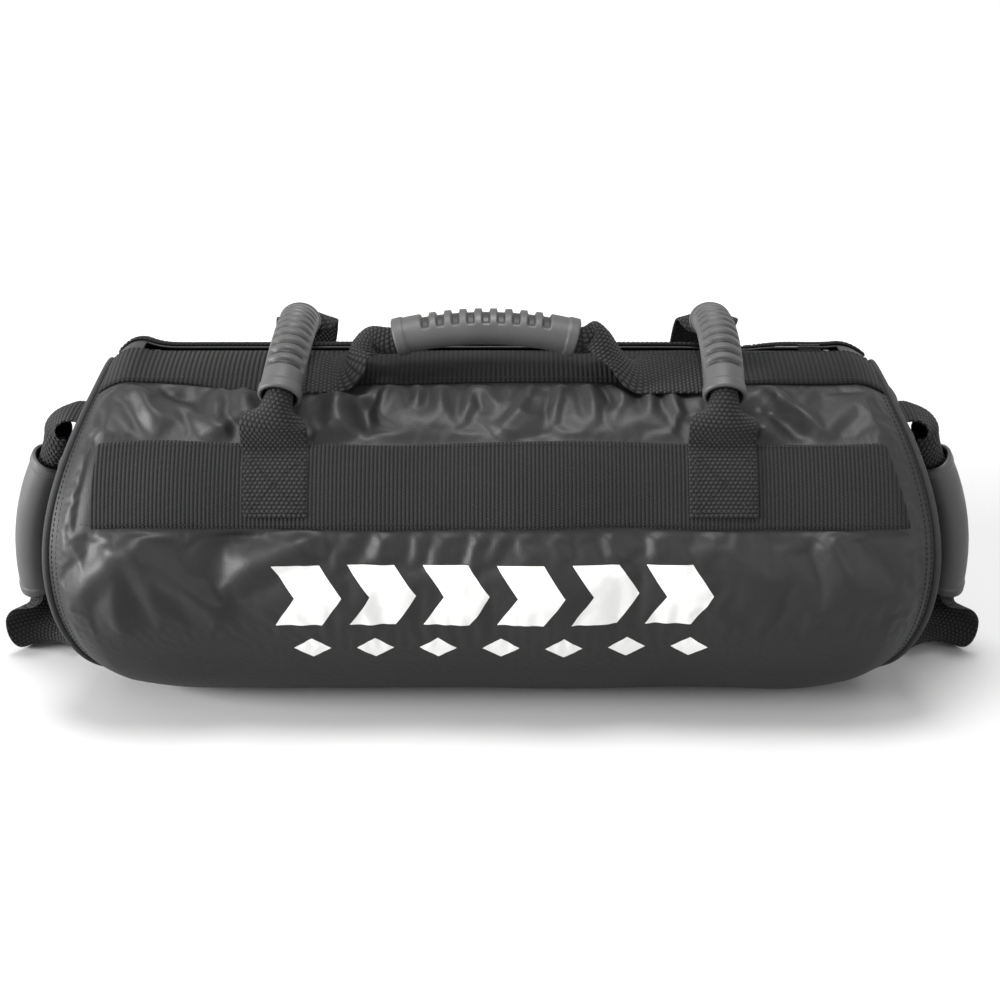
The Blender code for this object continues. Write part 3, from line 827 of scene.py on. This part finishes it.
def cross_strap(side):
    """Over the bag, its ends sewn over both bands."""
    sewn_x = side * CROSS_X + CROSS_SHIFT[side]
    lean, yaw = (0.18, 0.0045) if side < 0 else (0.05, 0.001)
    handle = Handle((sewn_x, -0.1165, 0.2300), (sewn_x + yaw, 0.0665, 0.2550),
                    (lean, 0, 1), CROSS_RISE + 0.0045, 0.160)
    across = np.array((1.0, 0, 0))
    lift = 0.0040

    def on_bag(angle, extra=0.0):
        share = sewn_x / seam_x(angle)
        point = bag_point(share, angle, lift + extra)
        return (point, across, 0.03)

    def free(y, z, curl):
        shift = lean * max(0, z - 0.236) + yaw * smoothstep((y + 0.1) / 0.16)
        return (np.array((sewn_x + shift, y, z)), across, curl)

    path = [on_bag(a) for a in (69.5, 65, 60, 54, 47.5)]
    path += [free(-0.1068, 0.2264, 0.05), free(-0.1100, 0.2350, 0.13),
             free(-0.1095, 0.2425, 0.40), free(-0.1070, 0.2500, 0.78)]
    path += handle.bundle(-0.0730, 0.0630, 9)
    path += [free(0.0440, 0.2800, 0.48), free(0.0540, 0.2755, 0.15),
             free(0.0670, 0.2660, 0.05), free(0.0830, 0.2500, 0.04)]
    path += [on_bag(-a) for a in (46, 53, 60, 65, 69.5)]
    return handle, path


def centre_strap():
    """Along the front strip, between the cross handles."""
    x, y, z = -0.004, -0.0450, 0.2655
    handle = Handle((x - 0.093, y, z), (x + 0.093, y, z), (0, 0, 1), OTHER_RISE)
    up = outward(18.8)
    across = np.cross((1.0, 0, 0), up)
    base = bag_point(0.0, 18.8, 0.0044)

    def sewn(out, rise, curl):
        return (base + up * rise + np.array((x + out, 0, 0)), across, curl)

    def free(out, height, curl):
        return (np.array((x + out, y, height)), handle.across, curl)

    path = [sewn(-0.160, 0, 0.03), sewn(-0.140, 0, 0.03), sewn(-0.124, 0.0005, 0.04),
            sewn(-0.112, 0.002, 0.10), sewn(-0.103, 0.010, 0.30),
            free(-0.0970, 0.2800, 0.55), free(-0.0860, 0.2900, 0.85)]
    path += handle.bundle(-0.0690, 0.0690, 9)
    path += [free(0.0800, 0.2945, 0.85), free(0.0895, 0.2870, 0.60),
             free(0.0985, 0.2735, 0.35), sewn(0.110, 0.004, 0.14),
             sewn(0.124, 0.0005, 0.05), sewn(0.140, 0, 0.03), sewn(0.160, 0, 0.03)]
    return handle, path


def end_strap(side):
    """Upright on an end panel: the upper and lower halves of its webbing."""
    def mirrored(x, y, z):
        return np.array((side * x, y, z))

    handle = Handle(mirrored(0.354, 0.030, 0.030), mirrored(0.314, -0.030, 0.205),
                    (side, 0, 0), OTHER_RISE)
    back = np.array((0, 1.0, 0))
    rows = ((0.2980, -0.0330, 0.2215, 0.05), (0.3070, -0.0330, 0.2240, 0.06),
            (0.3170, -0.0330, 0.2250, 0.09), (0.3275, -0.0325, 0.2215, 0.24),
            (0.3350, -0.0315, 0.2130, 0.52), (0.3375, -0.0300, 0.2020, 0.82))
    upper = [(mirrored(*place), back, curl) for *place, curl in rows]
    upper += handle.bundle(0.0690, 0.0, 5)
    turned = np.array((side * 1.0, -0.12, 0))
    down = np.array((0, -0.95, -0.32))
    rows = ((0.3690, 0.0215, 0.0480, 0.62, down * 0.65 + turned * 0.35),
            (0.3700, 0.0200, 0.0370, 0.24, down * 0.20 + turned * 0.80),
            (0.3680, 0.0190, 0.0240, 0.12, turned),
            (0.3630, 0.0220, 0.0130, 0.03, turned + back * 0.15),
            (0.3550, 0.0290, 0.0065, 0.02, turned + back * 0.5),
            (0.3440, 0.0370, 0.0055, 0.02, turned * 0.6 + back),
            (0.3280, 0.0410, 0.0080, 0.02, turned * 0.2 + back),
            (0.3110, 0.0420, 0.0150, 0.02, back), (0.3030, 0.0420, 0.0240, 0.02, back))
    lower = handle.bundle(0.0, -0.0690, 5)
    lower += [(mirrored(*place), across, curl) for *place, curl, across in rows]
    return handle, upper, lower


def make_grip(name, handle, shift=0.0, turned=0.0):
    """Moulded rubber sleeve, with finger grooves across its outer side."""
    half = GRIP_LENGTH / 2
    length = np.concatenate([[-half, -half], np.linspace(-half, half, 177), [half, half]])
    turns = np.linspace(0, math.tau, 61)[:-1]
    l, turn = np.meshgrid(length, turns, indexing="ij")
    from_top = np.degrees(np.abs((turn - turned + math.pi / 2) % math.tau - math.pi))
    cell = l / GROOVE_PITCH
    off = np.abs(cell - np.round(cell)) * GROOVE_PITCH
    groove = smoothstep((0.0027 - off) / 0.0009 + 0.5)
    groove *= np.abs(np.round(cell)) <= (GROOVES - 1) / 2
    groove *= smoothstep((66 - from_top) / 12)
    end = half - np.abs(l)
    collar = smoothstep((0.0085 - end) / 0.0012)
    lip = np.sqrt(np.clip(1 - (1 - np.clip(end / 0.0016, 0, 1)) ** 2, 0, 1))
    grow = collar * 0.0009 - GROOVE_DEPTH * groove - 0.0014 * (1 - lip)
    # The groove mask, with ones for the whole bore below, goes into the UVs so the rubber
    # paints these near black: painted shade in the recesses.
    wear_and_painted_shade = groove
    outer = handle.ring(l + shift, (GRIP_HALF_WIDTH + grow) * np.cos(turn),
                        (GRIP_HALF_HEIGHT + grow) * np.sin(turn))
    length = np.linspace(half, -half, 41)
    l, turn = np.meshgrid(length, turns, indexing="ij")
    flare = smoothstep((np.abs(l) - half + 0.009) / 0.009)
    wide = BORE + (GRIP_HALF_WIDTH - 0.0020 - BORE) * flare
    tall = BORE + (GRIP_HALF_HEIGHT - 0.0020 - BORE) * flare
    inner = handle.ring(l + shift, wide * np.cos(turn), tall * np.sin(turn))
    grid = np.concatenate([outer, inner])
    wear_and_painted_shade = np.concatenate([wear_and_painted_shade, np.ones(inner.shape[:2])])
    uv = np.stack([wear_and_painted_shade, wear_and_painted_shade], -1)
    made = piece(name, grid, quads(len(grid), 60, True, True), "rubber", uv)
    kit = bmesh.new()
    kit.from_mesh(made.data)
    bmesh.ops.remove_doubles(kit, verts=kit.verts, dist=1e-6)
    bmesh.ops.recalc_face_normals(kit, faces=kit.faces)
    kit.to_mesh(made.data)
    kit.free()
    made.data.shade_smooth()
    return made


# ---- Stitches and zip teeth ---------------------------------------------------------
def row_tree():
    """A Geometry Nodes tree that sets small rounded pieces along edges."""
    tree = bpy.data.node_groups.new("sewn_row", "GeometryNodeTree")
    face = tree.interface
    face.new_socket("Edges", in_out="INPUT", socket_type="NodeSocketGeometry")
    for name in ("Pitch", "Length", "Width", "Height", "Lean"):
        face.new_socket(name, in_out="INPUT", socket_type="NodeSocketFloat")
    face.new_socket("Material", in_out="INPUT", socket_type="NodeSocketMaterial")
    face.new_socket("Pieces", in_out="OUTPUT", socket_type="NodeSocketGeometry")

    def add(kind, settings=(), **links):
        made = tree.nodes.new(kind)
        for key, value in dict(settings).items():
            setattr(made, key, value)
        for key, value in links.items():
            socket = made.inputs[key.replace("_", " ")]
            if isinstance(value, bpy.types.NodeSocket):
                tree.links.new(value, socket)
            else:
                socket.default_value = value
        return made

    given = add("NodeGroupInput").outputs
    curve = add("GeometryNodeMeshToCurve", Mesh=given["Edges"]).outputs["Curve"]
    count = add("GeometryNodeResampleCurve", {"mode": "LENGTH"}, Curve=curve,
                Length=given["Pitch"])
    along = add("GeometryNodeInputTangent").outputs["Tangent"]
    up = add("GeometryNodeInputNamedAttribute", {"data_type": "FLOAT_VECTOR"}, Name="out")
    turn = add("FunctionNodeAxesToRotation", {"primary_axis": "X", "secondary_axis": "Z"})
    tree.links.new(along, turn.inputs[0])
    tree.links.new(up.outputs["Attribute"], turn.inputs[1])
    lean = add("ShaderNodeCombineXYZ", Z=given["Lean"]).outputs[0]
    leant = add("FunctionNodeEulerToRotation", Euler=lean).outputs[0]
    both = add("FunctionNodeRotateRotation", {"rotation_space": "LOCAL"},
               Rotation=turn.outputs[0], Rotate_By=leant).outputs[0]
    bead = add("GeometryNodeMeshUVSphere", Segments=6, Rings=5, Radius=0.5).outputs["Mesh"]
    size = add("ShaderNodeCombineXYZ", X=given["Length"], Y=given["Width"],
               Z=given["Height"]).outputs[0]
    placed = add("GeometryNodeInstanceOnPoints", Points=count.outputs["Curve"],
                 Instance=bead, Rotation=both, Scale=size).outputs["Instances"]
    real = add("GeometryNodeRealizeInstances", Geometry=placed).outputs["Geometry"]
    smooth = add("GeometryNodeSetShadeSmooth", Geometry=real).outputs[0]
    done = add("GeometryNodeSetMaterial", Geometry=smooth, Material=given["Material"])
    tree.links.new(done.outputs["Geometry"], add("NodeGroupOutput").inputs["Pieces"])
    return tree


ROW = row_tree()


def sewn_rows(name, rows, material, pitch, length, width, height, lean=0.0):
    """Small pieces along rows of (point, way out) pairs, as one plain mesh."""
    points, ups, edges = [], [], []
    for row in rows:
        start = len(points)
        for point, up in row:
            points.append(tuple(point))
            ups.append(tuple(up))
        edges += [(i, i + 1) for i in range(start, len(points) - 1)]
    mesh = bpy.data.meshes.new(name)
    mesh.from_pydata(points, edges, [])
    out = mesh.attributes.new("out", "FLOAT_VECTOR", "POINT")
    out.data.foreach_set("vector", np.array(ups, np.float32).ravel())
    guide = bpy.data.objects.new(name + "_rows", mesh)
    bpy.context.scene.collection.objects.link(guide)
    modifier = guide.modifiers.new("rows", "NODES")
    modifier.node_group = ROW
    values = {"Pitch": pitch, "Length": length, "Width": width, "Height": height,
              "Lean": lean, "Material": MATERIALS[material]}
    for socket in ROW.interface.items_tree:
        if socket.in_out == "INPUT" and socket.name in values:
            modifier[socket.identifier] = values[socket.name]
    bpy.context.view_layer.update()
    graph = bpy.context.evaluated_depsgraph_get()
    made = bpy.data.meshes.new_from_object(guide.evaluated_get(graph))
    bpy.data.objects.remove(guide)
    made.name = name
    made.materials.clear()
    made.materials.append(MATERIALS[material])
    result = bpy.data.objects.new(name, made)
    bpy.context.scene.collection.objects.link(result)
    return result


def row_on_bag(shares, angles, lift):
    shares, angles = np.broadcast_arrays(np.asarray(shares, float), np.asarray(angles, float))
    points = bag_point(shares, angles, lift)
    return list(zip(points.tolist(), outward(angles).tolist()))


# ---- Insides ------------------------------------------------------------------------
def softened(name, node, material, level, crumple, seed):
    """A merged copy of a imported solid, rounded and lightly crumpled."""
    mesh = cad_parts[node].data.copy()
    kit = bmesh.new()
    kit.from_mesh(mesh)
    bmesh.ops.remove_doubles(kit, verts=kit.verts, dist=2e-5)
    if level:
        bmesh.ops.subdivide_edges(kit, edges=kit.edges, cuts=level, use_grid_fill=True)
        bmesh.ops.smooth_vert(kit, verts=kit.verts, factor=0.5, use_axis_x=True,
                              use_axis_y=True, use_axis_z=True)
    kit.normal_update()
    waves = np.random.default_rng(seed).uniform(40, 130, (3, 3))
    for vertex in kit.verts:
        lean = sum(math.sin(np.dot(w, vertex.co) + 2.1 * i) for i, w in enumerate(waves))
        vertex.co += vertex.normal * crumple * lean / 3
    kit.to_mesh(mesh)
    kit.free()
    mesh.shade_smooth()
    mesh.materials.clear()
    mesh.materials.append(MATERIALS[material])
    made = bpy.data.objects.new(name, mesh)
    bpy.context.scene.collection.objects.link(made)
    return made


# ---- The object ---------------------------------------------------------------------
def settle(made, slot, *nodes, body="bag"):
    """Hides the imported parts that a piece takes the place of and hangs it on the body that it
    moves with; slot is not used.
    """
    if nodes:
        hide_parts(*nodes)
    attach(made, body)


def add_wrap():
    settle(make_wrap(), "coated_nylon", "shell_body")


def add_ends():
    for side, name in ((-1, "left"), (1, "right")):
        panel = make_panel(f"{name}_end_cloth", side)
        settle(panel, "coated_nylon", f"{name}_end_panel")
        settle(make_piping(f"{name}_end_trim", side), "piping", f"{name}_end_piping")


def add_tapes():
    rows = (("front_band", FRONT_BAND, BAND_SHARE, YARN, 0.00045, "band", 1),
            ("back_band", BACK_BAND, BAND_SHARE, YARN, 0.00045, "band", 2),
            ("front_top_strip", FRONT_STRIP, STRIP_SHARE, RIB, 0.00040, "strip", 3),
            ("back_top_strip", BACK_STRIP, STRIP_SHARE, RIB, 0.00040, "strip", 4))
    for node, angles, share, pitch, depth, material, seed in rows:
        made = make_tape(node + "_tape", angles, share, pitch, depth, material, seed,
                         node == "front_top_strip")
        settle(made, "webbing", node)


def add_handles():
    for side, name in ((-1, "left_cross"), (1, "right_cross")):
        handle, path = cross_strap(side)
        add_handle(name, handle, [("", path)], [(f"{name}_front_tab", f"{name}_back_tab")])
    handle, path = centre_strap()
    add_handle("centre", handle, [("", path)], [("centre_left_tab", "centre_right_tab")])
    for side, name in ((-1, "left_end"), (1, "right_end")):
        handle, upper, lower = end_strap(side)
        add_handle(name, handle, [("_upper", upper), ("_lower", lower)],
                   [(f"{name}_top_tab",), (f"{name}_bottom_tab",)])


def add_handle(name, handle, parts, tabs):
    for (ending, path), nodes in zip(parts, tabs):
        strap = make_strap(f"{name}_webbing{ending}", path, handle.up, wrinkle=0.0001)
        if ending != "_lower":          # the rolled strap is hidden once
            nodes = (*nodes, f"{name}_strap")
        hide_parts(*nodes)
        x = handle.middle[0]
        low = 0.001 if name == "centre" else -0.008
        start, end = {
            "_lower": ((x, 0.024, 0.012), (x, 0.021, 0.052)),
            "_upper": ((x, -0.033, 0.228), (x, -0.028, 0.200)),
            "": (tuple(handle.place(0.0, low)), tuple(handle.place(0.0, low + 0.018))),
        }[ending]
        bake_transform(strap)
    turned = {"left_end": -1.3, "right_end": 1.3}.get(name, 0.0)
    grip = make_grip(f"{name}_sleeve", handle, -0.006 if "cross" in name else 0.0, turned)
    settle(grip, "grip_rubber", f"{name}_grip", body=f"{name}_grip_body")


def tab_rows():
    """A box and a cross of stitches on each sewn end of the cross straps."""
    rows = []
    for side in (-1, 1):
        for face in (-1, 1):
            def corner(across, angle):
                x = side * CROSS_X + CROSS_SHIFT[side] + across * 0.0200
                return x / float(seam_x(angle)), face * angle

            box = [(-1, 51), (1, 51), (1, 68.0), (-1, 68.0), (-1, 51)]
            cross = ([(-1, 51), (1, 68.0)], [(1, 51), (-1, 68.0)])
            for line in (box, *cross):
                row = []
                for (a0, b0), (a1, b1) in zip(line, line[1:]):
                    for t in np.linspace(0, 1, 9)[:-1]:
                        share, angle = corner(a0 + (a1 - a0) * t, b0 + (b1 - b0) * t)
                        row += row_on_bag([share], [angle], 0.0052)
                share, angle = corner(*line[-1])
                row += row_on_bag([share], [angle], 0.0052)
                rows.append(row)
    return rows


def add_stitches():
    along = np.linspace(-1, 1, 161)
    rows = []
    for low, high in (FRONT_BAND, BACK_BAND):
        for angle in (low + 1.3, high - 1.3):
            rows.append(row_on_bag(along * BAND_SHARE * 0.995, angle, 0.0030))
    for low, high in (FRONT_STRIP, BACK_STRIP):
        for angle in (low + 1.2, high - 1.2):
            rows.append(row_on_bag(along * STRIP_SHARE * 0.995, angle, 0.0029))
    rows += tab_rows()
    made = sewn_rows("tape_stitches", rows, "thread", 0.0036, 0.0029, 0.00065, 0.0006)
    settle(made, "webbing")
    rows = []
    round_ = np.linspace(-179, 179, 240)
    for share in (0.988, 0.976):
        for side in (-1, 1):
            rows.append(row_on_bag(side * share, round_, 0.0004))
    made = sewn_rows("seam_stitches", rows, "thread", 0.0040, 0.0031, 0.0007, 0.0006)
    settle(made, "coated_nylon")


def zip_place(x, u, n):
    """A point by the zip: along it, towards the front from its middle, and out of it."""
    first, last = bag_point(0.0, SLOT[0]), bag_point(0.0, SLOT[1])
    middle = (first + last) / 2
    across = (last - first) / np.linalg.norm(last - first)
    normal = np.cross(across, (1.0, 0, 0))
    normal *= np.sign(normal[2])
    return middle + across * u + normal * n + np.array((x, 0, 0)), normal


def add_zip():
    for face, node in ((1, "front_zip_coil"), (-1, "back_zip_coil")):
        row = [zip_place(x, face * 0.0017, -0.0022) for x in np.linspace(-0.2530, 0.2530, 80)]
        made = sewn_rows(node + "_teeth", [row], "teeth", 0.0017, 0.0010, 0.0032, 0.0019,
                         face * 0.12)
        settle(made, "zip_coil", node)
    for node, material in (("front_zip_tape", "tape"), ("back_zip_tape", "tape"),
                           ("left_zip_stop", "metal"), ("right_zip_stop", "metal"),
                           ("zip_slider", "metal"), ("zip_pull", "metal")):
        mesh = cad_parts[node].data
        mesh.materials.clear()
        mesh.materials.append(MATERIALS[material])


def add_insides():
    for k, name in enumerate(("left", "middle", "right")):
        liner = softened(f"{name}_filler_bag", f"{name}_liner", "liner", 1, 0.0006, 40 + k)
        rows = [(liner, f"{name}_liner", "liner_cloth")]
        rows.append((softened(f"{name}_loose_sand", f"{name}_sand", "sand", 1, 0.0008,
                              50 + k), f"{name}_sand", "sand"))
        for kind in ("hook", "loop"):
            made = softened(f"{name}_{kind}_tape", f"{name}_{kind}_strip", "closure", 1,
                            0.0, 60 + k)
            rows.append((made, f"{name}_{kind}_strip", "hook_and_loop"))
        for made, node, slot in rows:
            settle(made, slot, node)


# ---- Studio -------------------------------------------------------------------------
def add_studio():
    floor = bpy.data.meshes.new("floor")
    floor.from_pydata([(-6, -4, 0), (6, -4, 0), (6, 8, 0), (-6, 8, 0)], [], [(0, 1, 2, 3)])
    floor.materials.append(pale_floor())
    ground = bpy.data.objects.new("floor", floor)
    bpy.context.scene.collection.objects.link(ground)
    world = bpy.data.worlds.new("studio")
    world.use_nodes = True
    back = world.node_tree.nodes["Background"]
    back.inputs["Color"].default_value = (1, 1, 1, 1)
    back.inputs["Strength"].default_value = 1.0
    bpy.context.scene.world = world
    bpy.context.scene.view_settings.view_transform = "Standard"
    rows = (("key", (-2.3, -0.75, 0.62), (-0.1, 0, 0.12), 0.8, 125),
            ("top", (-0.1, -0.4, 2.2), (0, 0, 0.15), 0.9, 55),
            ("fill", (1.9, -1.5, 0.8), (0, 0, 0.12), 1.2, 14))
    for name, place, target, size, power in rows:
        data = bpy.data.lights.new(name, "AREA")
        data.shape, data.size, data.energy = "DISK", size, power
        made = bpy.data.objects.new(name, data)
        made.location = place
        aim = Vector(target) - Vector(place)
        made.rotation_euler = aim.to_track_quat("-Z", "Y").to_euler()
        bpy.context.scene.collection.objects.link(made)


def add_camera():
    data = bpy.data.cameras.new("camera")
    data.lens, data.sensor_width = 71.4, 36
    data.clip_start, data.clip_end = 0.05, 50
    camera = bpy.data.objects.new("camera", data)
    camera.location = (0.0063, -1.4565, 0.6696)
    camera.rotation_euler = (math.radians(70), 0, 0)
    bpy.context.scene.collection.objects.link(camera)
    bpy.context.scene.camera = camera


add_camera()
add_studio()
add_wrap()
add_ends()
add_tapes()
add_handles()
add_stitches()
add_zip()
add_insides()
